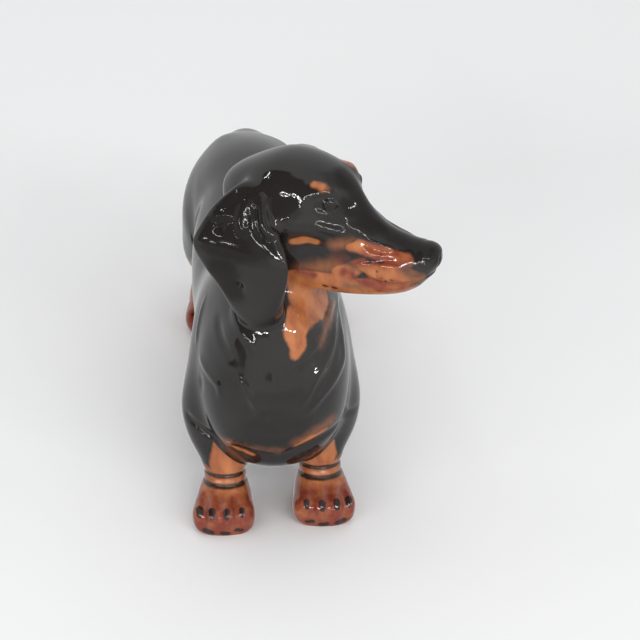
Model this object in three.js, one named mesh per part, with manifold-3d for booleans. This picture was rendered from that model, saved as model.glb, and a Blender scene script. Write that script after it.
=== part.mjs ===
// A glazed ceramic figurine of a standing dachshund, its head turned to its left.
// It is slip-cast in separate moulds: a hollow torso with the neck, a hollow head, two ears, four legs
// and a tail. The castings are stuck together with slip before firing, so a thin joint parts each pair here.
// Millimetres, +Z up. The dog faces -Y, its left side is +X, and it stands on Z = 0.
// The origin is under the middle of the figurine's bounding box.
import * as THREE from "three";
import { mergeVertices } from "three/addons/utils/BufferGeometryUtils.js";
import Module from "manifold-3d";

const wasm = await Module();
wasm.setup();

// Driving dimensions.
const WALL = 3.5; // thickness of the cast wall round the cavities
const JOINT_GAP = 0.3; // the slip joint between two castings
const AIR_HOLE_RADIUS = 1.5; // pierced under the belly and through the neck joint, for the gases of firing
const VENT_Y = 22; // where the belly is pierced
const ROUND = 2; // section power of a plain ellipse
const FULL = 2.2; // section power of a slightly squared body
const HEAD_ORIGIN = new THREE.Vector3(14.2, -47, 94.6); // between the brows
const HEAD_YAW = THREE.MathUtils.degToRad(62.5); // the head is turned this far to the dog's left
const HEAD_PITCH = THREE.MathUtils.degToRad(0.5); // and its nose dips this far
const FORE_STEP = 1.7; // the right forepaw stands this far forward and the left one as far back
const FORE_SHIFT = 0.8; // both forelegs stand this far to the left of the centre line
const HIND_LEAN = 2.3; // the hind paws stand this far to the left of the hips
const HIP_HEIGHT = 38;
const LEFT_EAR_RISE = new THREE.Vector2(4.4, 1.2); // the left ear's root is pricked this far forward and up
const EAR_ROOT_DEPTH = 20; // below this depth the two ears hang alike
const BOX_MIDDLE = new THREE.Vector2(10.3, 15); // middle of the bounding box in the dog's own axes

// Directions used as the "above" side of a section.
const SKY = new THREE.Vector3(0, 0, 1);
const TAILWARD = new THREE.Vector3(0, 1, 0);

// Each station is [x, y, z, half width, extent above, extent below] of a section.
const BARREL = [
  [1.2, -61, 37, 3, 3, 3],
  [1.2, -59, 37.5, 9.5, 11, 10],
  [1.2, -53.5, 38, 15.5, 19.5, 19],
  [1.2, -44, 38, 18.6, 25, 24.3],
  [1, -30, 38.5, 18.6, 24.5, 24.8],
  [0.5, -10, 39.5, 18.2, 20, 22],
  [-0.6, 12, 41, 17.4, 17, 19],
  [-1.3, 32, 42, 16.2, 15.8, 15.6],
  [-2, 48, 42.2, 15.6, 15.4, 13.4],
  [-2.4, 60, 41.4, 14.6, 13.8, 12],
  [-2.6, 69, 40, 11.6, 11, 10.5],
  [-2.6, 75, 38.8, 6, 6.8, 7.5],
  [-2.6, 77, 38.5, 2, 2, 2],
];
const NECK = [
  [1, -18, 40, 14, 14, 20],
  [1, -24, 50, 13.4, 16, 20],
  [1.4, -31, 61, 12.8, 14, 15],
  [3, -37, 72, 12, 12.5, 12.5],
  [5, -41, 82, 11.5, 11, 11],
  [6, -43, 91, 7, 7, 7],
];
const TAIL = [
  [-2.6, 66, 46, 3, 3, 3],
  [-2.6, 71, 46, 5, 5.2, 5.2],
  [-3, 78, 42.5, 4.2, 4.2, 4.2],
  [-4, 83.5, 36, 3.4, 3.4, 3.4],
  [-5.4, 87.5, 28.5, 2.9, 2.9, 2.9],
  [-7, 90.5, 21.5, 2.3, 2.3, 2.3],
  [-9, 92.5, 16, 1.7, 1.7, 1.7],
  [-10, 93.5, 13.5, 0.6, 0.6, 0.6],
];
// Left legs. The right ones are their mirror images.
const FORELEG = [
  [13.4, -28, 44, 3, 4, 4],
  [13.6, -30, 40, 4.8, 10, 9],
  [14.2, -33, 31, 7.3, 10, 10],
  [14.2, -36, 22, 7.2, 8.4, 8.4],
  [12.6, -40, 15, 5.4, 6.6, 6.4],
  [11.8, -42, 9.5, 5.4, 6.2, 6],
  [11.9, -43, 4, 6, 7, 7],
  [12.2, -43.5, 1, 5, 6, 6],
];
const FOREPAW = [
  [12.2, -35, 4, 2, 2, 3],
  [12.2, -37.5, 4, 5.2, 5.5, 5],
  [12.3, -44, 4, 6.8, 7, 5],
  [12.5, -50, 3.6, 7.9, 5.4, 5],
  [12.6, -54, 3, 6.8, 4, 4],
  [12.6, -55.6, 2.6, 2.5, 2, 2],
];
const HINDLEG = [
  [10, 48, 42, 4, 6, 6],
  [11.6, 50, 38, 7.6, 14, 13],
  [13.2, 53, 30, 7.6, 12, 12],
  [14.4, 59, 23, 6.2, 8, 8.5],
  [14.2, 64, 16.5, 4.7, 5.4, 6],
  [14.8, 64.5, 10, 4.7, 5.2, 5.6],
  [14.8, 63, 4, 5.2, 5.6, 6],
  [14.8, 62.5, 1, 4, 4.6, 5],
];
const HINDPAW = [
  [14.4, 68, 3.6, 2, 2, 3],
  [14.4, 66, 4, 4.8, 4.8, 5],
  [14.6, 60, 4, 6.2, 5.6, 5],
  [15, 54, 3.6, 6.9, 4.8, 5],
  [15.4, 50, 3, 6, 3.6, 4],
  [15.4, 48.2, 2.6, 2.5, 2, 2],
];
// Profiles of the head. Each row is [forward of the brows, top, bottom, half width].
const SKULL_PROFILE = [
  [-25.5, -7, -15, 3],
  [-23, -2, -18, 8],
  [-17, 2, -19.5, 12.2],
  [-10, 4.6, -20, 14],
  [-4, 4.4, -19, 13],
  [1, 1.9, -19, 10.2],
  [6, -4, -20.5, 7.2],
  [11, -8.2, -22.6, 6.7],
  [16, -10.4, -24, 6.6],
  [21, -11.3, -23.8, 6.4],
  [25, -11.6, -21.6, 5.7],
  [28.4, -12, -18.6, 4.6],
  [30, -13.8, -17, 2],
];
const JAW_PROFILE = [
  [-16, -14, -22, 4],
  [-12, -10, -26, 7.5],
  [-4, -10, -28.4, 8.2],
  [4, -12, -29.2, 7],
  [11, -14, -28.8, 6.2],
  [18, -16, -27.2, 5.2],
  [22.6, -17, -24.6, 3.8],
  [25, -18, -21, 1.5],
];
// Outline of an ear. Each row is [height from the brows, back edge, front edge, distance out, half thickness].
const EAR_OUTLINE = [
  [0.5, -18, -11, 10, 1.4],
  [-1.5, -20.5, -9, 12.2, 1.9],
  [-5, -23.5, -7.6, 14.2, 2],
  [-10, -27.5, -6.4, 15.6, 1.9],
  [-15, -30, -5, 16.8, 1.9],
  [-20, -28.6, -4, 17, 1.8],
  [-25, -24.5, -4, 16.6, 1.8],
  [-30, -19.5, -5.4, 15.6, 1.8],
  [-34, -14.6, -8.6, 14.2, 1.5],
  [-35.4, -12.4, -10.6, 13.8, 0.8],
];
// The plane where the head is stuck to the neck: a point on it and its upward normal.
const NECK_JOINT = new THREE.Vector3(2.2, -34, 67.6);
const NECK_JOINT_UP = new THREE.Vector3(0.1, -0.35, 0.93).normalize();

// A closed geometry through elliptical sections, centred on a smooth curve. The hint is roughly the
// sections' "above". grow moves the whole skin out, or in when it is negative.
function loft(stations, { hint = SKY, power = ROUND, rings = 18, sides = 20, grow = 0 } = {}) {
  const centres = new THREE.CatmullRomCurve3(
    stations.map(([x, y, z]) => new THREE.Vector3(x, y, z)),
    false,
    "catmullrom",
  );
  const sizes = new THREE.CatmullRomCurve3(
    stations.map(([, , , side, above, below]) => new THREE.Vector3(side, above, below)),
    false,
    "catmullrom",
  );
  const position = [];
  const index = [];
  const ends = [];
  for (let ring = 0; ring < rings; ring++) {
    const t = ring / (rings - 1);
    const centre = centres.getPoint(t);
    const along = centres.getTangent(t);
    const across = new THREE.Vector3().crossVectors(along, hint).normalize();
    const above = new THREE.Vector3().crossVectors(across, along);
    const size = sizes.getPoint(t).addScalar(grow);
    if (t === 0 || t === 1) {
      centre.addScaledVector(along, t === 0 ? -grow : grow);
      ends.push(centre);
    }
    for (let side = 0; side < sides; side++) {
      const angle = (2 * Math.PI * side) / sides;
      const sideways = squared(Math.cos(angle), power) * size.x;
      const upright = squared(Math.sin(angle), power) * (Math.sin(angle) > 0 ? size.y : size.z);
      const point = centre.clone().addScaledVector(across, sideways).addScaledVector(above, upright);
      position.push(point.x, point.y, point.z);
    }
  }
  const first = rings * sides;
  for (const end of ends) position.push(end.x, end.y, end.z);
  for (let side = 0; side < sides; side++) {
    const next = (side + 1) % sides;
    for (let ring = 0; ring < rings - 1; ring++) {
      const near = ring * sides;
      const far = near + sides;
      index.push(near + side, far + side, far + next, near + side, far + next, near + next);
    }
    const last = (rings - 1) * sides;
    index.push(first, side, next, first + 1, last + next, last + side);
  }
  const geometry = new THREE.BufferGeometry();
  geometry.setAttribute("position", new THREE.Float32BufferAttribute(position, 3));
  geometry.setIndex(index);
  return geometry;
}

// cos or sin of a superellipse: power 2 leaves it round, and more makes the section squarer.
function squared(value, power) {
  return Math.sign(value) * Math.abs(value) ** (2 / power);
}

function solid(geometry) {
  const bare = geometry.clone();
  bare.deleteAttribute("normal");
  bare.deleteAttribute("uv");
  const merged = mergeVertices(bare, 1e-4);
  return new wasm.Manifold(
    new wasm.Mesh({
      numProp: 3,
      vertProperties: merged.getAttribute("position").array,
      triVerts: new Uint32Array(merged.index.array),
    }),
  );
}

function geometryOf(manifold) {
  const { vertProperties, triVerts } = manifold.getMesh();
  const geometry = new THREE.BufferGeometry();
  geometry.setAttribute("position", new THREE.BufferAttribute(vertProperties, 3));
  geometry.setIndex(new THREE.BufferAttribute(triVerts, 1));
  const flat = geometry.toNonIndexed();
  flat.computeVertexNormals();
  return flat;
}

// Everything more than clear away from the neck joint, as a large block on the head's side (above = 1)
// or on the torso's side (above = -1).
function beyondNeckJoint(above, clear) {
  const reach = 200;
  const block = new THREE.BoxGeometry(reach, reach, reach);
  block.applyQuaternion(new THREE.Quaternion().setFromUnitVectors(SKY, NECK_JOINT_UP));
  const offset = NECK_JOINT_UP.clone().multiplyScalar(above * (reach / 2 + clear));
  block.translate(...NECK_JOINT.clone().add(offset));
  return solid(block);
}

// Everything under the surface that the figurine stands on.
function belowGround() {
  const reach = 300;
  return solid(new THREE.BoxGeometry(reach, reach, reach).translate(0, 0, -reach / 2));
}

function headMatrix() {
  const turn = new THREE.Matrix4().makeRotationZ(HEAD_YAW - Math.PI / 2);
  const dip = new THREE.Matrix4().makeRotationY(HEAD_PITCH);
  return new THREE.Matrix4().setPosition(HEAD_ORIGIN).multiply(turn).multiply(dip);
}

// Head profiles run forward along +X with the dog's left towards +Y, and headMatrix places them.
function profileStations(profile) {
  return profile.map(([forward, top, bottom, side]) => {
    const half = (top - bottom) / 2;
    return [forward, 0, (top + bottom) / 2, side, half, half];
  });
}

function headLoft(profile, options) {
  return solid(loft(profileStations(profile), { power: FULL, ...options }).applyMatrix4(headMatrix()));
}

// side is 1 for the dog's left and -1 for its right.
function foreStations(stations, side) {
  return stations.map(([x, y, ...rest]) => [side * x + FORE_SHIFT, y + side * FORE_STEP, ...rest]);
}

// A hind leg leans to the left from its hip: its shift is nothing at the hip and whole at the ground.
function hindStations(stations, side) {
  const lean = (z) => HIND_LEAN * (1 - Math.min(z, HIP_HEIGHT) / HIP_HEIGHT);
  return stations.map(([x, y, z, ...rest]) => [side * x + lean(z), y, z, ...rest]);
}

function barrel(grow = 0) {
  return solid(loft(BARREL, { power: FULL, rings: 26, sides: 26, grow }));
}

function neck(grow = 0) {
  return solid(loft(NECK, { hint: TAILWARD, rings: 12, sides: 22, grow }));
}

function skullAndJaw(grow = 0) {
  const skull = headLoft(SKULL_PROFILE, { rings: 22, sides: 22, grow });
  return skull.add(headLoft(JAW_PROFILE, { rings: 12, sides: 18, grow }));
}

// The slip drains out of the middle of a casting and leaves a wall. The narrow ends fill up solid.
function barrelCavity() {
  return solid(loft(BARREL.slice(2, -2), { power: FULL, rings: 14, sides: 16, grow: -WALL }));
}

function neckCavity() {
  return solid(loft(NECK.slice(0, -1), { hint: TAILWARD, rings: 8, sides: 14, grow: -WALL }));
}

function skullCavity() {
  return headLoft(SKULL_PROFILE.slice(2, -5), { rings: 9, sides: 14, grow: -WALL });
}

function airHole(length) {
  const cylinder = new THREE.CylinderGeometry(AIR_HOLE_RADIUS, AIR_HOLE_RADIUS, length, 16);
  return cylinder.rotateX(Math.PI / 2);
}

function vent() {
  const belly = 30;
  return solid(airHole(belly).translate(-1, VENT_Y, belly / 2));
}

// The hole between the two cavities, pierced through both walls before the head is stuck on.
function neckHole() {
  const hole = airHole(4 * WALL);
  hole.applyQuaternion(new THREE.Quaternion().setFromUnitVectors(SKY, NECK_JOINT_UP));
  return solid(hole.translate(...NECK_JOINT));
}

function torso() {
  const cavity = barrelCavity().add(neckCavity()).subtract(beyondNeckJoint(1, -WALL));
  const skin = barrel().add(neck()).subtract(beyondNeckJoint(1, -JOINT_GAP / 2));
  return skin.subtract(cavity).subtract(vent()).subtract(neckHole());
}

function head() {
  const cavity = skullCavity().add(neckCavity()).subtract(beyondNeckJoint(-1, -WALL));
  const skin = skullAndJaw().add(neck()).subtract(beyondNeckJoint(-1, -JOINT_GAP / 2));
  return skin.subtract(barrel(JOINT_GAP)).subtract(cavity).subtract(neckHole());
}

// What a stuck-on piece is cut back from, so that it meets the body across a joint.
function seat() {
  return barrel(JOINT_GAP).add(neck(JOINT_GAP)).add(skullAndJaw(JOINT_GAP));
}

function leg(limb, paw) {
  const shank = solid(loft(limb, { hint: TAILWARD, rings: 15, sides: 18 }));
  const foot = solid(loft(paw, { power: FULL, rings: 11, sides: 18 }));
  return largest(shank.add(foot).subtract(belowGround()).subtract(seat()));
}

function foreleg(side) {
  return leg(foreStations(FORELEG, side), foreStations(FOREPAW, side));
}

function hindleg(side) {
  return leg(hindStations(HINDLEG, side), hindStations(HINDPAW, side));
}

function ear(side) {
  const stations = EAR_OUTLINE.map(([height, back, front, out, half]) => {
    const pricked = side > 0 ? Math.max(0, 1 + height / EAR_ROOT_DEPTH) : 0;
    const forward = (back + front) / 2 + LEFT_EAR_RISE.x * pricked;
    return [forward, side * out, height + LEFT_EAR_RISE.y * pricked, (front - back) / 2, half, half];
  });
  const outward = new THREE.Vector3(0, side, 0);
  const flap = loft(stations, { hint: outward, power: FULL, rings: 14, sides: 20 });
  return largest(solid(flap.applyMatrix4(headMatrix())).subtract(seat()));
}

function tail() {
  const whip = solid(loft(TAIL, { hint: TAILWARD, rings: 14, sides: 12 }));
  return largest(whip.subtract(seat()));
}

// The part of a cut piece that is left outside the body.
function largest(manifold) {
  return manifold.decompose().sort((a, b) => b.volume() - a.volume())[0];
}

const BLACK_GLAZE = new THREE.MeshStandardMaterial({ color: 0x1b1716, roughness: 0.12, metalness: 0 });
const TAN_GLAZE = new THREE.MeshStandardMaterial({ color: 0xa8501c, roughness: 0.12, metalness: 0 });

const figurine = new THREE.Group();
figurine.name = "dachshund_figurine";
figurine.position.set(-BOX_MIDDLE.x, -BOX_MIDDLE.y, 0);

// The head and the ears turn together, so they share a group at the brows.
const turnedHead = new THREE.Group();
turnedHead.applyMatrix4(headMatrix());
turnedHead.updateMatrix();
figurine.add(turnedHead);

// The solids are shaped and cut in the dog's own axes, and each mesh holds its solid in its group's axes.
function place(name, manifold, material, group = figurine) {
  const geometry = geometryOf(manifold);
  if (group !== figurine) geometry.applyMatrix4(group.matrix.clone().invert());
  const mesh = new THREE.Mesh(geometry, material);
  mesh.name = name;
  group.add(mesh);
}

place("torso", torso(), BLACK_GLAZE);
place("head", head(), BLACK_GLAZE, turnedHead);
place("ear_left", ear(1), BLACK_GLAZE, turnedHead);
place("ear_right", ear(-1), BLACK_GLAZE, turnedHead);
place("foreleg_left", foreleg(1), TAN_GLAZE);
place("foreleg_right", foreleg(-1), TAN_GLAZE);
place("hindleg_left", hindleg(1), TAN_GLAZE);
place("hindleg_right", hindleg(-1), TAN_GLAZE);
place("tail", tail(), BLACK_GLAZE);

export default figurine;
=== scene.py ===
import math

import bpy
import numpy as np
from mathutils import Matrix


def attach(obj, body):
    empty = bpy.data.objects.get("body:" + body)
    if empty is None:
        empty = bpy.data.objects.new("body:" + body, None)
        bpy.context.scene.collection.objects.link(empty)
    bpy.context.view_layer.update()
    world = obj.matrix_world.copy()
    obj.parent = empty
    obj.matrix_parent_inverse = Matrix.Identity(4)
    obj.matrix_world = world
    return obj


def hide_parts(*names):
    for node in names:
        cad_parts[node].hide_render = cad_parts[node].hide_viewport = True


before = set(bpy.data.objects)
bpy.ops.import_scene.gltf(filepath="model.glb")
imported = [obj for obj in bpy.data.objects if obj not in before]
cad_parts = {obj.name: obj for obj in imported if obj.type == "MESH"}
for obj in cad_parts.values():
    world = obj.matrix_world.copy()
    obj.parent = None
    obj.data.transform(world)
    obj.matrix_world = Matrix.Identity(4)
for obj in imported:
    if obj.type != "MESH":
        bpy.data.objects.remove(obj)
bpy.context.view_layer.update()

import openvdb
from mathutils import Matrix, Vector

MM = 0.001
BOX_MIDDLE = np.array([10.3, 15.0, 0.0])  # middle of the bounding box in the dog's own axes
BAND = 8.0  # distances are kept up to this far from the skin
BODY_STEP, HEAD_STEP, PAW_STEP = 0.42, 0.26, 0.32  # sampling of the clay

HEAD_ORIGIN = np.array([14.2, -47.0, 94.6])
HEAD_YAW, HEAD_PITCH = math.radians(62.5), math.radians(0.5)
FORE_STEP, FORE_SHIFT = 1.7, 0.8
HIND_LEAN, HIP_HEIGHT = 2.3, 38.0
EAR_RISE = (4.4, 1.2)  # the left ear is pricked this far forward and up
EAR_ROOT_DEPTH = 20.0
NECK_JOINT = np.array([2.2, -34.0, 67.6])
NECK_JOINT_UP = np.array([0.1, -0.35, 0.93]) / np.linalg.norm([0.1, -0.35, 0.93])
WRIST_RINGS = ((12.3, 0.12), (10.0, 0.1))  # height and forward tilt of the two dark rings
WRIST_Y = -42.0
EYE = (3.7, 6.8, -3.4)  # the middle of the eyeball: forward of the brows, out and up
EYE_RADIUS = 2.1
VENT = (-1.0, 22.0)
VENT_RADIUS = 1.5

# Stations: x, y, z, half width, extent above, extent below, squareness of the section.
BARREL = [
    (1.2, -61, 37, 3, 3, 3, 2), (1.2, -59, 37.5, 9.5, 11, 10, 2), (1.2, -53.5, 38, 15.5, 19.5, 19, 2.1),
    (1.2, -44, 38, 18.6, 25, 24.3, 2.2), (1, -30, 38.5, 18.6, 24.5, 24.8, 2.2),
    (0.5, -10, 39.5, 18.2, 20, 22, 2.2), (-0.6, 12, 41, 17.4, 17, 19, 2.2),
    (-1.3, 32, 42, 16.2, 15.8, 15.6, 2.2), (-2, 48, 42.2, 15.6, 15.4, 13.4, 2.15),
    (-2.4, 60, 41.4, 14.6, 13.8, 12, 2.1), (-2.6, 69, 40, 11.6, 11, 10.5, 2.1),
    (-2.6, 75, 38.8, 6, 6.8, 7.5, 2), (-2.6, 77, 38.5, 2, 2, 2, 2),
]
NECK = [
    (1, -18, 40, 14, 14, 20, 2), (1, -24, 50, 13.4, 16, 20, 2), (1.4, -31, 61, 12.8, 14, 15, 2),
    (3, -37, 72, 12, 12.5, 12.5, 2), (5, -41, 82, 11.5, 11, 11, 2), (6, -43, 91, 7, 7, 7, 2),
]
TAIL = [
    (-2.6, 66, 46, 3, 3, 3, 2), (-2.6, 71, 46, 5, 5.2, 5.2, 2), (-3, 78, 42.5, 4.2, 4.2, 4.2, 2),
    (-4, 83.5, 36, 3.4, 3.4, 3.4, 2), (-5.4, 87.5, 28.5, 2.9, 2.9, 2.9, 2),
    (-7, 90.5, 21.5, 2.3, 2.3, 2.3, 2), (-9, 92.5, 16, 1.7, 1.7, 1.7, 2), (-10, 93.5, 13.5, 0.6, 0.6, 0.6, 2),
]
FORELEG = [
    (13.4, -28, 44, 3, 4, 4, 2), (13.6, -30, 40, 4.8, 10, 9, 2), (14.2, -33, 31, 7.3, 10, 10, 2),
    (14.2, -36, 22, 7.2, 8.4, 8.4, 2), (12.6, -40, 15, 5.4, 6.6, 6.4, 2), (11.8, -42, 9.5, 5.2, 6.2, 6, 2),
    (11.9, -43, 4, 6, 7, 7, 2), (12.2, -43.5, 1, 5, 6, 6, 2),
]
FOREPAW = [
    (12.2, -35, 4, 2, 2, 3, 2), (12.2, -37.5, 4, 5.2, 5.5, 5, 2.2), (12.3, -44, 4, 6.8, 7, 5, 2.3),
    (12.5, -50, 3.6, 7.9, 5.4, 5, 2.4), (12.6, -54, 3, 6.8, 4, 4, 2.3), (12.6, -55.6, 2.6, 2.5, 2, 2, 2),
]
HINDLEG = [
    (10, 48, 42, 4, 6, 6, 2), (11.6, 50, 38, 7.6, 14, 13, 2), (13.2, 53, 30, 7.6, 12, 12, 2),
    (14.4, 59, 23, 6.2, 8, 8.5, 2), (14.2, 64, 16.5, 4.7, 5.4, 6, 2), (14.8, 64.5, 10, 4.7, 5.2, 5.6, 2),
    (14.8, 63, 4, 5.2, 5.6, 6, 2), (14.8, 62.5, 1, 4, 4.6, 5, 2),
]
HINDPAW = [
    (14.4, 68, 3.6, 2, 2, 3, 2), (14.4, 66, 4, 4.8, 4.8, 5, 2.2), (14.6, 60, 4, 6.2, 5.6, 5, 2.3),
    (15, 54, 3.6, 6.9, 4.8, 5, 2.4), (15.4, 50, 3, 6, 3.6, 4, 2.3), (15.4, 48.2, 2.6, 2.5, 2, 2, 2),
]
# Head profiles: forward of the brows, top, bottom, half width, squareness.
SKULL = [
    (-25.5, -7, -15, 3, 2), (-23, -2, -18, 8, 2), (-17, 2, -19.5, 12.2, 2), (-10, 4.6, -20, 14, 2.1),
    (-4, 4.4, -19, 13, 2.15), (1, 1.9, -19, 10.2, 2.2), (6, -4, -20.5, 7.2, 2), (11, -8.2, -22.6, 6.8, 1.95),
    (16, -10.4, -24, 6.8, 1.95), (21, -11.3, -23.8, 6.6, 1.95), (25, -11.6, -21.6, 6, 2),
    (28.4, -12, -19, 4.9, 2.2), (30, -13.8, -17, 2, 2),
]
JAW = [
    (-16, -14, -22, 4, 2), (-12, -10, -26, 7.5, 2), (-4, -10, -28.4, 8.2, 2), (4, -12, -29.2, 7, 2.1),
    (11, -14, -28.8, 6.2, 2.1), (18, -16, -27.2, 5.2, 2.1), (22.6, -17, -24.6, 3.8, 2), (25, -18, -21, 1.5, 2),
]
# Ear outline: height from the brows, back edge, front edge, distance out, half thickness.
EAR = [
    (0.5, -18, -11.4, 10, 1.4), (-1.5, -20, -10.4, 12.4, 1.9), (-5, -23.2, -8.6, 14.9, 2),
    (-10, -26.1, -4.8, 17.2, 2), (-15, -27.8, -0.8, 18.7, 2), (-20, -25, -0.8, 18.9, 1.9),
    (-24.6, -21.4, -2.6, 18, 1.9), (-29, -17.6, -5, 16.6, 1.9), (-32.4, -14.2, -8.4, 15, 1.6),
    (-33.8, -12.4, -10.4, 14.4, 0.9),
]

# Modelling strokes: height of the ridge (negative for a groove), its half width, and points that it passes.
# Points on the head are (forward of the brows, to the dog's left, up); these lie on its right side.
HEAD_STROKES = [
    (1.3, 2.9, [(-10, -14, -7), (-7, -13.9, -7.6), (-3, -12.4, -8), (0.6, -10.2, -9.6), (3.4, -8.6, -11.6),
        (6.6, -7.4, -13.2)]),
    (-0.5, 1.8, [(-9, -13, -1), (-5, -12.4, -1.5), (-2, -11, -1)]),
    (0.8, 1.5, [(-1.6, -10, -1), (1, -8.8, -0.2), (2.8, -7.7, -0.1), (4.8, -6.4, -1.2), (6.4, -5.4, -3)]),
    (-0.5, 1.3, [(9, -5.6, -9.6), (14, -5.6, -13), (19, -5.6, -14)]),
    (1.3, 0.95, [(7.4, -6, -7.8), (9, -6.2, -9), (11.3, -5.5, -10.1), (13.9, -5.3, -11.5), (17.3, -4.8, -12.3),
        (21, -4.4, -12.6)]),
    (1.2, 0.85, [(1.2, -10, -7.6), (2.2, -9.7, -8.3), (4.7, -8.3, -9.5), (6.4, -7.4, -10.1), (8.2, -6.7, -10.8)]),
    (-0.7, 0.9, [(2.4, -9.6, -6.4), (5, -8.2, -7.4), (7.4, -7, -8.2), (8.4, -6.4, -9.6)]),
    (0.7, 2.4, [(16, -6.6, -19.2), (20, -6.6, -18.6), (24.5, -5.4, -18.4)]),
    (-0.4, 0.9, [(9, -6.9, -17.5), (14, -6.9, -16.4), (18, -6.5, -15.6), (22, -6, -15.4)]),
    (-0.95, 0.65, [(7.6, -6.8, -18.2), (11.5, -6.9, -20.3), (15, -6.7, -22), (19, -6.2, -22.9), (23, -5.3, -22),
        (26.2, -4, -20.2), (28.2, -2, -18.8), (28.8, 0, -18.4)]),
    (0.5, 1.4, [(1, -7, -24.5), (5, -6.8, -25.2), (9, -6.4, -25.4)]),
    (-0.3, 0.8, [(-3.5, -8.6, -22), (0, -7.6, -22.6), (4, -7, -22), (7.6, -6.8, -19.6)]),
]
EYE_STROKES = [
    (0.6, 0.6, [(0.6, -10.2, -3.6), (2.1, -9.7, -2.2), (4, -8.7, -1.7), (5.7, -7.5, -2.4), (6.9, -6.8, -3.8)]),
    (0.4, 0.55, [(0.6, -10.2, -3.6), (2.3, -9.6, -4.8), (4.1, -8.8, -5.3), (5.7, -7.8, -4.8), (6.9, -6.8, -3.8)]),
]
NOSE_STROKES = [
    (-0.14, 0.6, [(24.9, 0, -11.4), (25.3, -2.6, -12), (26, -4.6, -13.8), (27, -5, -16.4), (28.4, -3.4, -17.9),
        (29, 0, -18.1)]),
    (-0.4, 0.5, [(29.9, -1.3, -14.8), (29.4, -2.6, -15.4), (28.4, -3.9, -15), (27.4, -4.5, -14.2)]),
    (-0.2, 0.45, [(30.4, 0, -14.6), (29.8, 0, -16.6), (28.8, 0, -18.6)]),
]
EAR_STROKES = [
    (1.3, 1.0, [(-9.3, -16, -0.3), (-9.6, -16, -4.4), (-8.2, -17, -8), (-6, -17, -10.8), (-3.9, -17, -13.2),
        (-2.3, -17, -14.6)]),
    (-0.8, 0.7, [(-12, -16, -2.5), (-10.9, -16.5, -5.4), (-9.4, -17, -8.5), (-7.4, -17, -11.6)]),
    (1.5, 1.2, [(-13.6, -15, -2), (-14.6, -16.5, -5.4), (-14.2, -17, -8.4), (-12.8, -17.5, -11.6),
        (-11.4, -18, -13.8)]),
    (0.9, 1.2, [(-22, -16.5, -8.6), (-19.4, -17, -6.8), (-16, -17, -6.2)]),
    (-1.1, 1.4, [(-19.6, -17, -9), (-17.6, -17.5, -11.6), (-15.4, -18, -14.4)]),
    (1.1, 1.0, [(-20.6, -17, -10.6), (-22.8, -17, -11), (-22.2, -18, -13.6), (-20.6, -18, -16),
        (-18.4, -18.5, -18), (-15.6, -18.5, -18.6), (-13.6, -18.5, -20.6)]),
    (0.7, 0.9, [(-27.4, -17, -14.8), (-25.6, -17.5, -14.8), (-24, -18, -16.6)]),
    (-1.2, 1.3, [(-12.2, -17.5, -15.6), (-12, -18.5, -18.6), (-12.6, -18.5, -22), (-13.4, -18.5, -26.4)]),
    (-0.8, 0.9, [(-22.6, -18, -20.5), (-20.6, -18.5, -21), (-18, -18.5, -20.4)]),
]
# Folds of the neck and chest, in the dog's own axes.
BODY_STROKES = [
    (0.5, 1.0, [(-7.6, -47, 61), (-7.4, -49, 58.8), (-5.6, -53, 56.5), (-4.2, -56, 54.7), (-4.1, -58, 52)]),
    (0.45, 1.0, [(-14, -32, 55), (-16.6, -35.2, 49), (-17.4, -38.1, 45)]),
    (0.45, 0.9, [(-7.5, -58.8, 46.4), (-5.6, -60.4, 43.6), (-3.5, -61.1, 39)]),
    (0.6, 1.0, [(17.4, -30.3, 54.3), (15.7, -40.6, 57), (13.4, -48.7, 55.4), (10.7, -55, 52.8), (6.3, -59.2, 49.7)]),
    (0.6, 1.0, [(17.8, -33, 56), (16.2, -45.2, 53.5), (15.2, -51, 50.5), (13.6, -55, 48.8), (11, -58.3, 46),
        (8.7, -60.3, 41.3), (6.7, -60.7, 38.2)]),
    (0.5, 1.0, [(18, -36, 56), (18, -44.5, 49.7), (18, -48.5, 45.8), (16.6, -52.7, 44), (13, -57.6, 41.1),
        (9.5, -59.6, 37.5), (5, -59.5, 34)]),
    (0.5, 1.0, [(-17, -43.7, 44.5), (-15.4, -50, 44), (-12.8, -55.2, 42.6), (-12.6, -55.7, 39.5)]),
    (-0.5, 1.3, [(-11.5, -44, 56), (-10.5, -50, 53), (-8.5, -56, 50)]),
    (-0.5, 1.3, [(12.5, -44, 58.5), (12, -51, 53.6), (9.5, -56.5, 50.6), (7.5, -59.5, 46)]),
    (-0.5, 1.3, [(17.6, -40, 53.5), (16.6, -49, 50), (15, -54, 46.6), (11, -58.8, 42)]),
    (-0.9, 1.0, [(22, -37.6, 26), (17.1, -49.3, 28), (12.6, -54.1, 26.8), (6.7, -55.5, 24), (3.2, -55, 22.4)]),
    (-0.9, 1.0, [(-20.2, -40.5, 27), (-19, -43.5, 25.6), (-15.1, -47.5, 23.6), (-12, -50, 22.4)]),
]
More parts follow.
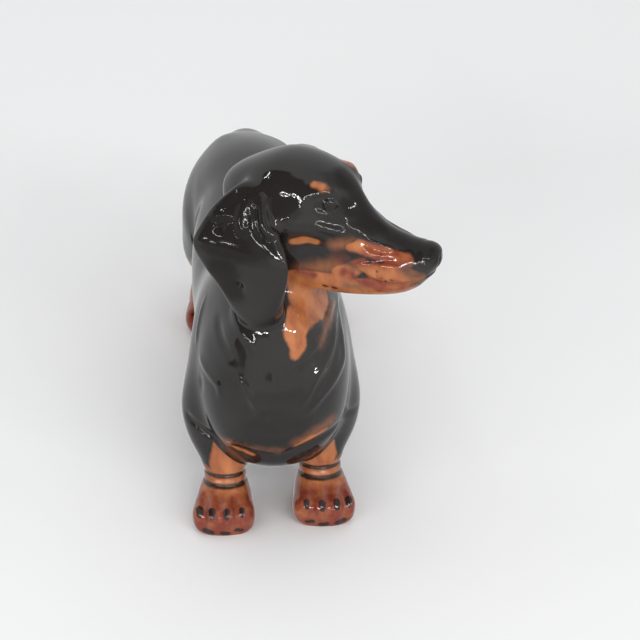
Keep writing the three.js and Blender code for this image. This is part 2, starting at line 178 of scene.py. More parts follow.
# Soft swellings (or hollows): centre, radii and height. These on the body are matched on both sides.
BODY_SWELLS = [
    ((18, -30, 44), (5, 9, 12), 0.9), ((20, -37, 27), (5, 7, 6), 0.8), ((18.6, -17, 34), (5, 6, 10), -0.8),
    ((17.5, 4, 40), (5, 16, 10), 0.4), ((16, 34, 45), (5, 7, 8), -0.9), ((13.5, 53, 41), (5, 10, 9), 0.9),
    ((14, 42, 30), (6, 4, 5), 0.6), ((7, 36, 26), (5, 8, 4), -0.5), ((0, -61, 38), (5, 4, 9), 0.5),
    ((14.5, 68, 17), (3, 3, 3), 0.5), ((9, 63, 53), (4, 6, 3), 0.6), ((0, -54, 60), (14, 7, 8), 3.4),
]
HEAD_SWELLS = [
    ((7.4, -4.6, -4.2), (3, 2.4, 3), -1.0), ((0.8, -13, -14), (4, 3, 4), -0.5), ((-11, -5, 4), (7, 6, 4), 0.3),
    ((3.2, -7.4, 1), (2.2, 2.2, 2.2), 0.6), ((10.5, -7, -15), (3, 2, 3), -0.5), ((-14.2, -18.6, -23.6),
        (4.6, 3, 4.6), -0.5),
    ((-7, -19, -24), (5, 2.5, 6), 0.4),
]
# Small thumb marks on the chest.
DENTS = [(-17.6, -47, 39), (-6, -60.5, 38.6), (-1.2, -61.6, 36.4), (-4.6, -60, 31.4)]


def on_head(points):
    """Points given forward of the brows, to the dog's left and up, in the dog's own axes."""
    sy, cy, sp, cp = math.sin(HEAD_YAW), math.cos(HEAD_YAW), math.sin(HEAD_PITCH), math.cos(HEAD_PITCH)
    forward = np.array([sy * cp, -cy * cp, -sp])
    left = np.array([cy, sy, 0.0])
    return HEAD_ORIGIN + np.atleast_2d(points) @ np.stack([forward, left, np.cross(forward, left)])


def across_head(points):
    """The same points on the other side of the head."""
    return [(forward, -out, up) for forward, out, up in points]


def pricked(points):
    """Points of the right ear carried to the left one, which is pricked."""
    moved = []
    for forward, out, up in points:
        share = max(0.0, 1 + up / EAR_ROOT_DEPTH)
        moved.append((forward + EAR_RISE[0] * share, -out, up + EAR_RISE[1] * share))
    return moved


def lean(z):
    return HIND_LEAN * (1 - min(z, HIP_HEIGHT) / HIP_HEIGHT)


def smooth(points, count):
    """A smooth path through points, as count samples."""
    points = np.asarray(points, float)
    t = np.linspace(0, len(points) - 1, count)
    i = np.minimum(t.astype(int), len(points) - 2)
    f = (t - i)[:, None]
    p0, p1, p2, p3 = (points[np.clip(i + k, 0, len(points) - 1)] for k in (-1, 0, 1, 2))
    bent = (2 * p0 - 5 * p1 + 4 * p2 - p3) * f**2 + (3 * (p1 - p2) + p3 - p0) * f**3
    return 0.5 * (2 * p1 + (p2 - p0) * f + bent)


def loft(stations, hint=(0, 0, 1), rings=64, sides=56, placed=None, upright=False):
    """A closed surface through the stations.

    The hint is roughly the sections' "above". Upright lofts have level sections, whatever way they run.
    """
    rows = smooth(stations, rings)
    centre, side, above, below, power = rows[:, :3], rows[:, 3], rows[:, 4], rows[:, 5], rows[:, 6]
    along = np.gradient(centre, axis=0)
    along /= np.linalg.norm(along, axis=1)[:, None]
    if upright:
        along[:] = (0, 0, -1)
    across = np.cross(along, np.asarray(hint, float))
    across /= np.linalg.norm(across, axis=1)[:, None]
    upward = np.cross(across, along)
    angle = np.linspace(0, 2 * math.pi, sides, endpoint=False)
    cos, sin = np.cos(angle)[None], np.sin(angle)[None]
    bend = (2 / power)[:, None]
    x = np.sign(cos) * np.abs(cos) ** bend * np.maximum(side, 0.05)[:, None]
    tall = np.where(sin > 0, above[:, None], below[:, None])
    y = np.sign(sin) * np.abs(sin) ** bend * np.maximum(tall, 0.05)
    skin = centre[:, None] + x[..., None] * across[:, None] + y[..., None] * upward[:, None]
    points = np.concatenate([skin.reshape(-1, 3), centre[:1], centre[-1:]])
    if placed is not None:
        points = placed(points)
    ring, turn = np.meshgrid(np.arange(rings - 1), np.arange(sides), indexing="ij")
    a, b = (ring * sides + turn).ravel(), (ring * sides + (turn + 1) % sides).ravel()
    around = np.concatenate([np.stack([a, a + sides, b + sides], 1), np.stack([a, b + sides, b], 1)])
    turn = np.arange(sides)
    first, last, end = rings * sides, (rings - 1) * sides, (turn + 1) % sides
    start_cap = np.stack([np.full(sides, first), turn, end], 1)
    end_cap = np.stack([np.full(sides, first + 1), last + end, last + turn], 1)
    return points, np.concatenate([around, start_cap, end_cap])


def melt(a, b, blend):
    """The union of two distances, with a fillet of about the size of blend."""
    share = np.clip(0.5 + 0.5 * (b - a) / blend, 0, 1)
    return b + (a - b) * share - blend * share * (1 - share)


def between(values, at):
    """Values read at fractional places of a grid."""
    size = np.array(values.shape)
    low = np.clip(at.astype(int), 0, size - 2)
    fx, fy, fz = np.clip(at - low, 0, 1).T
    flat = values.ravel()
    stride_x, stride_y = size[1] * size[2], size[2]
    base = low[:, 0] * stride_x + low[:, 1] * stride_y + low[:, 2]
    total = 0.0
    for dx, wx in ((0, 1 - fx), (stride_x, fx)):
        for dy, wy in ((0, 1 - fy), (stride_y, fy)):
            total = total + wx * wy * ((1 - fz) * flat[base + dx + dy] + fz * flat[base + dx + dy + 1])
    return total


def doubled(values, axis):
    """Samples at twice the density along an axis, with smooth ones in between."""
    v = np.moveaxis(values, axis, 0)
    out = np.empty((2 * len(v) - 1, *v.shape[1:]), np.float32)
    out[::2] = v
    out[1::2] = 0.5 * (v[1:] + v[:-1])
    out[3:-3:2] += 0.0625 * (v[1:-2] + v[2:-1] - v[:-3] - v[3:])
    return np.moveaxis(out, 0, axis)


class Clay:
    """Space sampled on a grid. Each sample holds its distance from the skin, negative inside."""

    def __init__(self, low, high, step):
        self.step = step
        self.first = np.floor(np.array(low) / step).astype(int)
        self.count = np.ceil(np.array(high) / step).astype(int) - self.first + 1
        self.skin = np.full(self.count, BAND, np.float32)
        self.parts = {}

    def window(self, low, high):
        a = np.clip(np.floor(np.asarray(low) / self.step).astype(int) - self.first, 0, self.count)
        b = np.clip(np.ceil(np.asarray(high) / self.step).astype(int) - self.first + 1, 0, self.count)
        if (b - a).min() < 2:
            return None, None
        where = tuple(slice(p, q) for p, q in zip(a, b))
        axes = [((np.arange(p, q) + o) * self.step).astype(np.float32) for p, q, o in zip(a, b, self.first)]
        return where, np.meshgrid(*axes, indexing="ij", sparse=True)

    def add(self, name, shape, blend, reach=BAND, spacing=0.85):
        """Adds a closed surface with a fillet. Spacing is how far apart its distances are measured."""
        points, triangles = shape
        where, _ = self.window(points.min(0) - reach, points.max(0) + reach)
        if where is None:
            return
        halvings = max(0, int(math.log2(spacing / self.step)))
        skip = 2**halvings
        grid = openvdb.FloatGrid.createLevelSetFromPolygons(
            points.astype(np.float32),
            triangles=triangles.astype(np.uint32),
            transform=openvdb.createLinearTransform(voxelSize=self.step * skip),
            halfWidth=reach / (self.step * skip),
        )
        start = [s.start + o for s, o in zip(where, self.first)]
        size = [s.stop - s.start for s in where]
        low = [v // skip - 2 for v in start]
        out = np.empty([(v + n) // skip - l + 4 for v, n, l in zip(start, size, low)], np.float32)
        grid.copyToArray(out, ijk=tuple(int(v) for v in low))
        for axis in (0, 1, 2) * halvings:
            out = doubled(out, axis)
        out = out[tuple(slice(v - skip * l, v - skip * l + n) for v, n, l in zip(start, size, low))]
        self.skin[where] = melt(self.skin[where], out, blend)
        self.parts.setdefault(name, []).append((where, np.ascontiguousarray(out)))

    def soften(self, widths):
        """Evens the skin out over a small distance, so that no facet of the lofts is left."""
        for wide in widths:
            for axis in range(3):
                v = np.moveaxis(self.skin, axis, 0)
                out = v.copy()
                n, inner = 2 * wide, len(v) - 2 * wide
                middle = v[n:inner]
                near = v[n - wide : inner - wide] + v[n + wide : inner + wide]
                far = v[: inner - n] + v[2 * n : inner + n]
                out[n:inner] = 0.375 * middle + 0.25 * near + 0.0625 * far
                self.skin = np.ascontiguousarray(np.moveaxis(out, 0, axis))

    def ball(self, centre, radius, blend):
        centre = np.asarray(centre, float)
        where, axes = self.window(centre - radius - 2, centre + radius + 2)
        if where is None:
            return
        d = np.sqrt(sum((a - c) ** 2 for a, c in zip(axes, centre))) - radius
        self.skin[where] = melt(self.skin[where], d, blend)

    def swell(self, centre, radii, height, turned=False):
        """Raises the skin around centre, or hollows it. Radii are along the head's axes when turned."""
        reach = 2.6 * max(radii)
        where, axes = self.window(np.asarray(centre) - reach, np.asarray(centre) + reach)
        if where is None:
            return
        off = [a - c for a, c in zip(axes, centre)]
        if turned:
            frame_axes = on_head(np.eye(3)) - HEAD_ORIGIN
            off = [sum(o * v for o, v in zip(off, axis)) for axis in frame_axes]
        far = sum((o / r) ** 2 for o, r in zip(off, radii))
        self.skin[where] -= (height * np.exp(-far)).astype(np.float32)

    def sample(self, points):
        return between(self.skin, points / self.step - self.first)

    def slope(self, points):
        reach = self.step
        out = [self.sample(points + reach * e) - self.sample(points - reach * e) for e in np.eye(3)]
        slope = np.stack(out, 1) / (2 * reach)
        return slope / np.maximum(np.linalg.norm(slope, axis=1), 1e-6)[:, None]

    def onto(self, points):
        """Moves points to the skin."""
        points = np.array(points, float)
        for _ in range(4):
            points = points - self.sample(points)[:, None] * self.slope(points)
        return points

    def stroke(self, height, width, points):
        """Draws a ridge or a groove over the skin, fading out at both ends."""
        points = np.asarray(points, float)
        low, high = self.first * self.step, (self.first + self.count - 1) * self.step
        if ((points < low + 1) | (points > high - 1)).any():
            return
        length = np.linalg.norm(np.diff(points, axis=0), axis=1).sum()
        count = int(max(8, 1.6 * length / width))
        path = self.onto(smooth(self.onto(points), count))
        fade = np.minimum(1, 3.2 * np.minimum(np.arange(count), np.arange(count)[::-1]) / count + 0.12)
        reach = 2.4 * width
        where, axes = self.window(path.min(0) - reach, path.max(0) + reach)
        skin = self.skin[where]
        near = np.nonzero(np.abs(skin) < reach)
        x, y, z = (a.ravel()[n] for a, n in zip(axes, near))
        best = np.full(len(x), 1e9, np.float32)
        strength = np.zeros(len(x), np.float32)
        for k in range(count - 1):
            ax, ay, az = path[k].astype(np.float32)
            ux, uy, uz = (path[k + 1] - path[k]).astype(np.float32)
            dx, dy, dz = x - ax, y - ay, z - az
            t = np.clip((dx * ux + dy * uy + dz * uz) / max(ux * ux + uy * uy + uz * uz, 1e-6), 0, 1)
            d = (dx - t * ux) ** 2 + (dy - t * uy) ** 2 + (dz - t * uz) ** 2
            closer = d < best
            best[closer] = d[closer]
            strength[closer] = fade[k] + t[closer] * (fade[k + 1] - fade[k])
        skin[near] -= height * strength * np.exp(-best / width**2)

    def part(self, name, points):
        """The distance of points from one component."""
        best = np.full(len(points), BAND)
        for where, values in self.parts.get(name, []):
            at = points / self.step - (np.array([s.start for s in where]) + self.first)
            inside = ((at >= 0) & (at < np.array(values.shape) - 1)).all(1)
            best[inside] = np.minimum(best[inside], between(values, at[inside]))
        return best

    def surface(self):
        grid = openvdb.FloatGrid(BAND)
        grid.copyFromArray(self.skin, ijk=tuple(int(v) for v in self.first))
        grid.transform = openvdb.createLinearTransform(voxelSize=self.step)
        points, quads = grid.convertToQuads(0.0)
        triangles = np.concatenate([quads[:, [0, 1, 2]], quads[:, [0, 2, 3]]])
        return points.astype(float), triangles.astype(int)


def head_stations(profile):
    rows = []
    for x, top, low, side, power in profile:
        half = (top - low) / 2
        rows.append((x, 0, (top + low) / 2, side, half, half, power))
    return rows


def ear_stations(side):
    rows = []
    for height, back, front, out, half in EAR:
        place = (0.5 * (back + front), -out, height)
        x, y, z = pricked([place])[0] if side > 0 else place
        rows.append((x, y, z, (front - back) / 2, half, half, 2.4))
    return rows


def sided(stations, side, shift=0.0, step=0.0, leaning=False):
    """Stations of a leg on one side of the dog (1 for its left, -1 for its right)."""
    rows = []
    for x, y, z, *rest in stations:
        rows.append((side * x + shift + (lean(z) if leaning else 0), y + side * step, z, *rest))
    return rows


def toes(clay, x0, y0, spread, height):
    """Three clefts part the four toes of a paw, and each toe is rounded at its knuckle."""
    for k in (-1, 0, 1):
        x = x0 + k * spread
        out = 0.5 * abs(k)
        path = [
            (x - 0.2 * k, y0 + 7.5 + out, height + 2.4), (x, y0 + 4 + out, height + 1.4),
            (x + 0.2 * k, y0 + 1.4 + out, height - 1.6), (x + 0.3 * k, y0 + 0.4 + out, 1.2),
        ]
        clay.stroke(-1.7, 0.85, path)
    for k in (-1.5, -0.5, 0.5, 1.5):
        x = x0 + k * spread
        out = 0.8 * max(0, abs(k) - 0.5)
        clay.swell((x, y0 + 2.6 + out, height), (1.5, 2.2, 1.8), 1.1)


def shape(low, high, step, with_ears=False):
    """The whole dog in clay, or the window of it between two corners."""
    clay = Clay(low, high, step)
    clay.add("barrel", loft(BARREL), 1, spacing=1.3)
    clay.add("neck", loft(NECK, hint=(0, 1, 0)), 9, spacing=1.3)
    clay.add("skull", loft(head_stations(SKULL), placed=on_head), 4, 7)
    clay.add("skull", loft(head_stations(JAW), placed=on_head), 3, 6)
    for side, name in ((1, "left"), (-1, "right")):
        clay.add("foreleg_" + name, loft(sided(FORELEG, side, FORE_SHIFT, FORE_STEP), hint=(0, 1, 0)), 4, 6)
        clay.add("foreleg_" + name, loft(sided(FOREPAW, side, FORE_SHIFT, FORE_STEP)), 2.5, 6)
        clay.add("hindleg_" + name, loft(sided(HINDLEG, side, leaning=True), hint=(0, 1, 0)), 6, 7)
        clay.add("hindleg_" + name, loft(sided(HINDPAW, side, leaning=True)), 2.5, 6)
        if with_ears:
            ear = loft(ear_stations(side), hint=(0, side, 0), placed=on_head, upright=True)
            clay.add("ear_" + name, ear, 1, 5, 0.3)
    clay.add("tail", loft(TAIL, hint=(0, 1, 0)), 4, 6, 0.5)
    clay.soften((1, 2, 3) if with_ears else (1, 2))
    for (x, y, z), radii, height in BODY_SWELLS:
        for side in (1, -1):
            if x or side > 0:
                clay.swell((0.4 + side * x + (lean(z) if y > 40 else 0), y, z), radii, height)
    for centre, radii, height in HEAD_SWELLS:
        for centres in ([centre], (pricked if centre[2] < -20 else across_head)([centre])):
            clay.swell(on_head(centres)[0], radii, height, turned=True)
    for centre in DENTS:
        clay.swell(centre, (1.5, 1.5, 1.8), -0.5)
    for height, width, points in HEAD_STROKES + NOSE_STROKES:
        clay.stroke(height, width, on_head(points))
        clay.stroke(height, width, on_head(across_head(points)))
    for side in (1, -1):
        clay.swell(on_head([(3.8, -side * 9, -3.4)])[0], (3.2, 2.4, 2.1), -0.75, turned=True)
        clay.ball(on_head([(EYE[0], -side * EYE[1], EYE[2])])[0], EYE_RADIUS, 0.25)
    for height, width, points in EYE_STROKES:
        clay.stroke(height, width, on_head(points))
        clay.stroke(height, width, on_head(across_head(points)))
    if with_ears:
        for height, width, points in EAR_STROKES:
            clay.stroke(height, width, on_head(points))
            clay.stroke(height, width, on_head(pricked(points)))
    for height, width, points in BODY_STROKES:
        clay.stroke(height, width, points)
    for side in (1, -1):
        toes(clay, side * 13.5 + FORE_SHIFT, -55.6 + side * FORE_STEP, 3.6, 6.0)
        toes(clay, side * 15.4 + lean(2), 48.2, 3.2, 5.2)
        ring_x, ring_y = side * 11.9 + FORE_SHIFT, WRIST_Y + side * FORE_STEP
        for height, tilt in WRIST_RINGS:
            where, axes = clay.window((ring_x - 8.5, ring_y - 9.5, 4), (ring_x + 8.5, ring_y + 9, 18))
            if where is not None:
                level = axes[2] - height - tilt * (ring_y - axes[1])
                clay.skin[where] += (0.35 * np.exp(-((level / 0.55) ** 2))).astype(np.float32)
    where, axes = clay.window((VENT[0] - 4, VENT[1] - 4, 10), (VENT[0] + 4, VENT[1] + 4, 28))
    if where is not None:
        bore = np.maximum(np.hypot(axes[0] - VENT[0], axes[1] - VENT[1]) - VENT_RADIUS, axes[2] - 27.5)
        clay.skin[where] = np.maximum(clay.skin[where], -bore)
    everywhere = clay.window((-99, -99, -99), (199, 199, 199))[1]
    clay.skin = np.maximum(clay.skin, -everywhere[2]).astype(np.float32)
    return clay


class Skin:
    """A triangle mesh with a normal at each point."""

    def __init__(self, points, triangles, normals=None):
        self.points, self.triangles = points, triangles
        if normals is None:
            a, b, c = (points[triangles[:, k]] for k in range(3))
            face = np.cross(b - a, c - a)
            normals = np.zeros_like(points)
            for k in range(3):
                for axis in range(3):
                    normals[:, axis] += np.bincount(triangles[:, k], face[:, axis], len(points))
            normals /= np.maximum(np.linalg.norm(normals, axis=1), 1e-12)[:, None]
        self.normals = normals

    def below(self, level):
        """The part where level is negative, cut cleanly along its zero line."""
        level = np.where(np.abs(level) < 1e-5, 1e-5, level)
        inside = level[self.triangles] < 0
        number = inside.sum(1)
        kept = [self.triangles[number == 3]]
        cut, new = [], []
        for count in (1, 2):
            some = self.triangles[number == count]
            odd = inside[number == count] if count == 1 else ~inside[number == count]
            turn = np.argmax(odd, axis=1)
            a, b, c = (some[np.arange(len(some)), (turn + k) % 3] for k in range(3))
            cut.append((a, b, c))
        edges = np.concatenate([np.stack([a, x], 1) for a, b, c in cut for x in (b, c)])
        keys, back = np.unique(np.sort(edges, axis=1), axis=0, return_inverse=True)
        back = back.ravel()
        share = (level[keys[:, 0]] / (level[keys[:, 0]] - level[keys[:, 1]]))[:, None]
        one, other = keys.T
        points, normals = (
            np.concatenate([old, old[one] * (1 - share) + old[other] * share])
            for old in (self.points, self.normals)
        )
        at = len(self.points) + back
        n1, n2 = len(cut[0][0]), len(cut[1][0])
        ab1, ac1, ab2, ac2 = at[:n1], at[n1 : 2 * n1], at[2 * n1 : 2 * n1 + n2], at[2 * n1 + n2 :]
        kept.append(np.stack([cut[0][0], ab1, ac1], 1))
        kept.append(np.stack([ab2, cut[1][1], cut[1][2]], 1))
        kept.append(np.stack([ab2, cut[1][2], ac2], 1))
        return Skin(points, np.concatenate(kept), normals).packed()

    def packed(self):
        """Without unused points and without faces that have no area."""
        t = self.triangles
        t = t[(t[:, 0] != t[:, 1]) & (t[:, 1] != t[:, 2]) & (t[:, 2] != t[:, 0])]
        used = np.zeros(len(self.points), bool)
        used[t] = True
        normals = self.normals[used]
        normals = normals / np.maximum(np.linalg.norm(normals, axis=1), 1e-12)[:, None]
        return Skin(self.points[used], (np.cumsum(used) - 1)[t], normals)

    def largest(self):
        """Only the largest connected part."""
        label = np.arange(len(self.points))
        while True:
            low = label[self.triangles].min(1)
            new = label.copy()
            for k in range(3):
                np.minimum.at(new, self.triangles[:, k], low)
            new = new[new]
            if (new == label).all():
                break
            label = new
        which = label[self.triangles[:, 0]]
        names, sizes = np.unique(which, return_counts=True)
        return Skin(self.points, self.triangles[which == names[np.argmax(sizes)]], self.normals).packed()

    def capped(self):
        """Closed by a fan over each open rim."""
        t = self.triangles
        edges = np.concatenate([t[:, [0, 1]], t[:, [1, 2]], t[:, [2, 0]]])
        count = len(self.points)
        forward = edges[:, 0] * count + edges[:, 1]
        backward = edges[:, 1] * count + edges[:, 0]
        rim = edges[~np.isin(forward, backward)]
        following = dict(zip(rim[:, 0].tolist(), rim[:, 1].tolist()))
        points, normals, extra = [self.points], [self.normals], []
        while following:
            start, at = next(iter(following.items()))
            loop = [start]
            while at != start and at in following:
                loop.append(at)
                at = following.pop(at)
            following.pop(start, None)
            centre = self.points[loop].mean(0) - 1.2 * self.normals[loop].mean(0)
            middle = count + len(points) - 1
            points.append(centre[None])
            normals.append(-self.normals[loop].mean(0)[None])
            extra += [(b, a, middle) for a, b in zip(loop, loop[1:] + loop[:1])]
        triangles = np.concatenate([t, np.array(extra, int).reshape(-1, 3)])
        return Skin(np.concatenate(points), triangles, np.concatenate(normals))


# Where the underglaze colours lie. A brush mark is a chain of (x, y, z, radius).
HEAD_TAN = [
    [(-3.4, -11.2, -13.2, 1.3), (-1.2, -10, -12.8, 1.8), (0.8, -8.6, -13, 1.3)],
    [(9.4, -7, -14, 1.3), (11.6, -6.8, -13.4, 1.9), (16, -6.4, -14, 1.9), (21, -6, -14.6, 1.8),
        (23.4, -5.4, -15, 1.8)],
    [(15.6, -6.8, -19.4, 2.6), (19.5, -6.6, -19, 3), (23.5, -6, -18.8, 2.8), (26, -4.6, -19.6, 2.4)],
    [(-4, -7.6, -25, 2.8), (1, -7, -25, 3), (6, -6.6, -25, 3), (12, -6.4, -25, 3.2), (18, -5.6, -24.8, 3),
        (23.5, -4, -23, 2.6)],
    [(-4, 0, -28, 6), (8, 0, -28.5, 6), (18, 0, -26, 5)],
    [(6.5, -7, -21.5, 2.2), (9, -7, -20.5, 2.2), (12.5, -7, -18, 1.8)],
]
BROW_SPOTS = [[(0.2, -7.6, 1.3, 0.9), (1.8, -7.4, 0.6, 1.3), (3.2, -6.9, 0, 0.8)], [(0.4, 7.2, 1, 1.6),
        (2.6, 6.6, 0, 1.7), (4, 6.2, -1, 1.2)]]
HEAD_RED = [
    [(7.4, -7, -17, 2.2), (12, -7, -16.4, 2), (17, -6.6, -15.8, 1.5), (23, -6, -15.6, 1.6)],
    [(14.4, -6.6, -13.6, 1.6), (20, -6, -13.4, 1.6), (24, -5.4, -13.8, 1.4)],
    [(17, -6, -22.4, 1.6), (22, -5.2, -22, 1.6)],
    [(8, -6.8, -21, 1.6), (12, -6.8, -22.6, 1.6), (17, -6.2, -24.6, 1.8), (22, -5, -23.8, 1.6)],
    [(-4, -8, -22.6, 0.6), (0, -7.4, -23.4, 0.6)],
]
BODY_TAN = [
    [(6.6, -50, 70, 3), (9, -48.5, 65.5, 5), (8.6, -49.6, 61, 5), (7.2, -52.4, 58, 3.4)],
    [(13.4, -44, 65, 4), (13.8, -44, 61, 3), (11.8, -48.6, 58.2, 1.8)],
    [(7.2, -54, 60.4, 3.6), (6.2, -56.6, 58, 3)],
    [(5.8, -57, 57.4, 2.6), (6.7, -58, 55, 2.4), (6.2, -59.4, 52.8, 1.5)],
    [(6.4, -55.8, 25.3, 0.9), (10, -55.6, 27.6, 1.2), (13.9, -54.7, 29.4, 0.6)],
    [(-10.8, -53.2, 25.2, 0.6), (-7.5, -54.2, 23.6, 0.7), (-4.4, -54.3, 22.2, 0.5)],
    [(-2, 79, 33, 3.2), (-2.6, 76, 30, 3)],
]
# Thin washes of tan over black, and of black over tan.
TAN_WASH = [
    [(16, -40.6, 57, 1.1), (13.8, -48.3, 55.6, 1), (11.9, -53.6, 53.2, 0.9)],
    [(6.4, -55.6, 27, 1.6), (10.5, -55.6, 30, 2), (14.5, -54, 31.5, 1.6)],
    [(-16, -50, 24.5, 1), (-8, -54, 25.4, 1), (2, -55.2, 24.4, 1)],
]
HEAD_TAN_WASH = [
    [(-3, -8.6, -21.5, 1.6), (3, -7.6, -21, 2), (7, -7.4, -18.5, 2)],
    [(5.6, -7.4, -14, 1.4), (9, -6.6, -12.6, 1)],
]
HEAD_BLACK_WASH = [
    [(24.2, -6, -17, 2), (27, -5, -18.4, 2.4), (28.6, -2.6, -17.4, 2), (28.2, 0, -19, 2.2)],
    [(25, -4, -22, 1.6), (26.6, -2, -21.4, 1.6), (27, 0, -21, 1.6)],
    [(8.6, -6.9, -18.4, 0.8), (10.5, -6.8, -19.6, 0.9), (12.6, -6.7, -20.6, 0.7)],
    [(8, -5.8, -24.5, 1.2), (11, -5.6, -24.6, 0.9)],
]
# Painted shade: here the black glaze shines less, so these parts of the head and ears look dark, as if a dark room
# were mirrored in them.
HEAD_PAINTED_SHADE = [
    [(6, -4.2, -4, 2.2), (12, -3, -8, 2.4), (19, -2.4, -10, 2.4), (25, -2.6, -12, 2.4)],
    [(5, 0, 1, 3.4), (9, 0, -6, 4), (18, 0, -10, 4.4), (28, 0, -13, 4.4)],
    [(-9, -13.4, -3, 3.6), (-4, -11.8, -5, 2.4)],
]
EAR_PAINTED_SHADE = [[(-15, -16, -3, 5), (-18, -18, -11, 7), (-10, -18, -12, 5)], [(-18, -18.6, -20, 5),
        (-16, -18.6, -25, 3.4)]]
# Fine dark lines and dots.
BODY_INK = [
    [(-13.2, -49.5, 24.8, 0.6), (-7.9, -54.7, 25.1, 0.6), (0.2, -55.2, 22.7, 0.7)],
    [(-12.7, -47.9, 21.5, 0.7), (-6.1, -52.3, 20.2, 0.7), (0.3, -53.3, 19.8, 0.7)],
    [(2.7, -55.1, 23, 0.5), (5.4, -55.5, 24.3, 0.4)],
    [(3.5, -52.8, 19.4, 0.6), (9, -52.7, 21, 0.6), (11.9, -48.7, 19.6, 0.6)],
]
EYE_INK = [[(1.8, -9.6, -3.5, 0.5), (3.8, -9, -3.3, 0.9), (5.4, -8, -3.6, 0.6)]]
WHISKERS = [
    (16.7, -6.7, -18.6, 0.42), (17.7, -6.5, -20.1, 0.4), (19.3, -6.5, -18.4, 0.36), (20.2, -6.3, -20.1, 0.45),
    (21.8, -6.3, -18.2, 0.34), (18.6, -6.3, -21, 0.36), (23.2, -6, -18.8, 0.3), (2.6, -5.7, -25.8, 0.95),
        (4.9, -5.5, -25.9, 0.95),
]
# On the right foreleg: the tan patch above the wrist, and black that runs down beside it.
FORE_TAN = [[(-12, -48, 21, 2.4), (-12, -47.6, 16, 3.4)], [(-8, -46, 15, 3)]]
FORE_BLACK = [[(-19, -42, 19, 3.4), (-17.4, -45.2, 15.6, 1.6), (-16.6, -46.4, 14, 1)], [(-14.4, -48.5, 22, 1.2),
        (-14, -49, 19.4, 0.6)]]
KNUCKLE_DABS = ((-17.8, -54.9, 6.2, 1), (-14.8, -56.5, 6.4, 1), (-11.1, -56.9, 6.4, 0.9), (-7.3, -55.9, 6.3, 0.8))
TOE_DABS = ((-19, -54.6, 2.2, 0.9), (-16, -56.6, 1.7, 1.3), (-11.6, -57.2, 1.1, 1.2), (-8, -56.6, 1.9, 0.8))
HIND_BLACK = [[(17, 50, 38, 14), (19, 54, 26, 7), (19, 62, 18, 3)], [(14, 66, 26, 6), (15, 70, 16, 2.4)]]


def brushed(points, marks):
    """The distance of points from the nearest brush mark, negative under it."""
    best = np.full(len(points), BAND)
    for mark in marks:
        path = np.array(mark, float)
        if len(path) == 1:
            path = np.concatenate([path, path])
        for a, b in zip(path[:-1], path[1:]):
            along = b[:3] - a[:3]
            t = np.clip((points - a[:3]) @ along / max(along @ along, 1e-9), 0, 1)
            away = np.linalg.norm(points - a[:3] - t[:, None] * along, axis=1)
            best = np.minimum(best, away - (a[3] + t * (b[3] - a[3])))
    return best


def placed_mark(mark):
    """A mark on the head as it is listed, in the dog's own axes."""
    return [(*p, r) for p, r in zip(on_head([q[:3] for q in mark]), [q[3] for q in mark])]


def head_marks(marks):
    """Marks on both sides of the head, in the dog's own axes."""
    out = []
    for mark in marks:
        mirrored = [(x, -y, z, r) for x, y, z, r in mark]
        out += [placed_mark(mark), placed_mark(mirrored)]
    return out


def both_sides(marks):
    """Marks on the right foreleg, and on the left one, which stands further back."""
    return marks + [[(2 * FORE_SHIFT - x, y + 2 * FORE_STEP, z, r) for x, y, z, r in mark] for mark in marks]


def paw_ink():
    """Dark dabs on the knuckles and toe tips of both forepaws; the dark rings round the wrists are drawn in
    painted().
    """
    marks = []
    for x, y, z, r in KNUCKLE_DABS:
        marks.append([(x, y + 0.7, z + 0.6, r), (x, y - 0.2, z - 0.5, r * 0.8)])
    for x, y, z, r in TOE_DABS:
        marks.append([(x - 0.7, y, z, r * 0.8), (x + 0.7, y, z - 0.2, r * 0.8)])
    return both_sides(marks)


def painted(name, points):
    """Signed distances, in mm, from the edges of the colours, and of the painted shade, at each point of a piece."""
    far = np.full(len(points), BAND)
    tan, red, ink, tan_wash, black_wash, painted_shade = far, far, far, far, far, far
    if name in ("head", "torso"):
        spots = [placed_mark(mark) for mark in BROW_SPOTS]
        tan = brushed(points, head_marks(HEAD_TAN) + spots + BODY_TAN)
        tan_wash = brushed(points, head_marks(HEAD_TAN_WASH) + TAN_WASH)
        black_wash = brushed(points, head_marks(HEAD_BLACK_WASH))
        # Painted shade on the head: where the glaze is made to shine less.
        painted_shade = brushed(points, head_marks(HEAD_PAINTED_SHADE))
        red = brushed(points, head_marks(HEAD_RED))
        ink = brushed(points, head_marks([[w] for w in WHISKERS] + EYE_INK) + BODY_INK)
    if name.startswith("foreleg"):
        side = 1 if name.endswith("left") else -1
        tan = np.minimum(points[:, 2] - 14.4, brushed(points, both_sides(FORE_TAN)))
        tan = np.maximum(tan, -brushed(points, both_sides(FORE_BLACK)))
        y0 = WRIST_Y + side * FORE_STEP
        rings = [np.abs(points[:, 2] - h - t * (y0 - points[:, 1])) - 0.55 for h, t in WRIST_RINGS]
        ink = np.minimum(brushed(points, paw_ink()), np.minimum(*rings))
        red = points[:, 2] - 9.0
    if name.startswith("hindleg"):
        side = 1 if name.endswith("left") else -1
        marks = [[(side * x + lean(z), y, z, r) for x, y, z, r in mark] for mark in HIND_BLACK]
        tan = -brushed(points, marks)
        red = points[:, 2] - 7.5
        dabs = []
        for k in (-1.5, -0.5, 0.5, 1.5):
            back = 0.8 * max(0, abs(k) - 0.5)
            dabs.append([(side * (15.4 + k * 3.2) + lean(3), 50.4 + back, 5.6, 0.8)])
        ink = brushed(points, dabs)
    if name.startswith("ear"):
        # Painted shade on the upper ear: where the glaze is made to shine less.
        painted_shade = brushed(points, head_marks(EAR_PAINTED_SHADE))
    washes_and_painted_shade = {"tan_wash": tan_wash, "black_wash": black_wash, "painted_shade": painted_shade}
    return {"tan": tan, "red": red, "ink": ink, "sole": points[:, 2] - 0.12, **washes_and_painted_shade}


